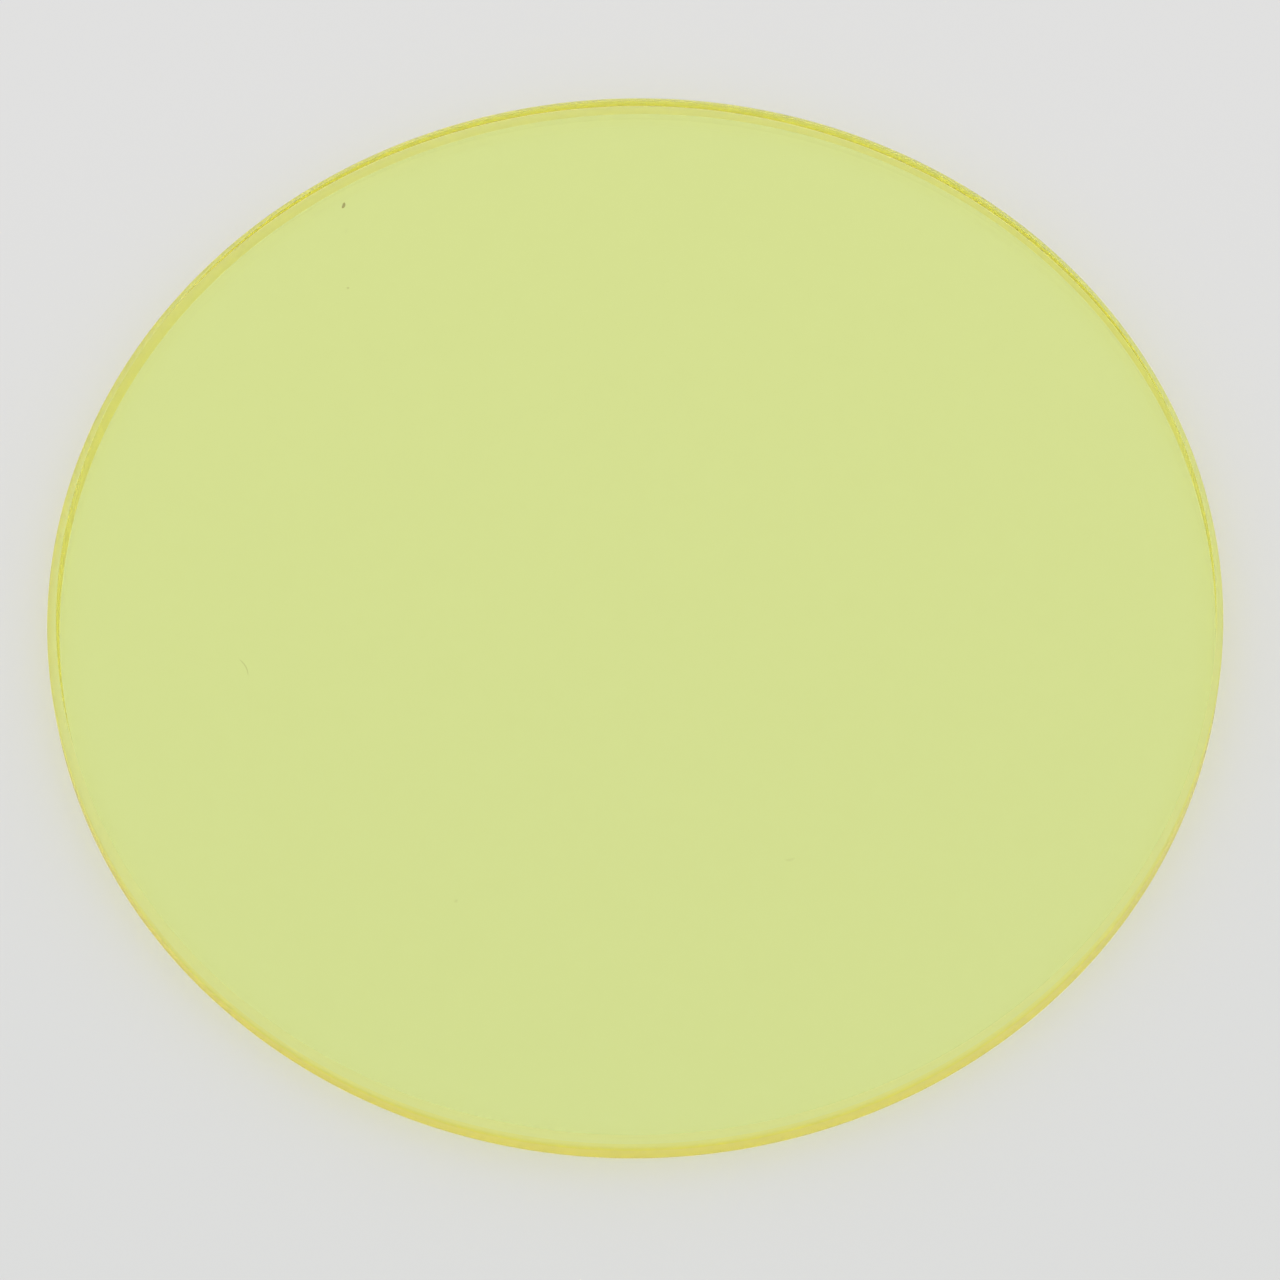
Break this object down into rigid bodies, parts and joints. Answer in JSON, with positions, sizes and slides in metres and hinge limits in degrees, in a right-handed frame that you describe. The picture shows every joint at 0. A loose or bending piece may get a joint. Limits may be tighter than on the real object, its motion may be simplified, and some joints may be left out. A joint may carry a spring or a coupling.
{
  "type": "microscope filter",
  "caption": "Round flat filter of clear yellow-green glass with a ground, bevelled rim, for a microscope's filter holder.",
  "frame": {"origin": "centre of the underside, the flat polished face that the filter lies on", "axes": "+Z along the optical axis, up through the glass; X and Y lie in the underside"},
  "size_m": [0.045, 0.045, 0.0017],
  "materials": {
    "glass": "polished"
  },
  "bodies": {
    "root": {"filter_disc": "glass"}
  },
  "joints": []
}
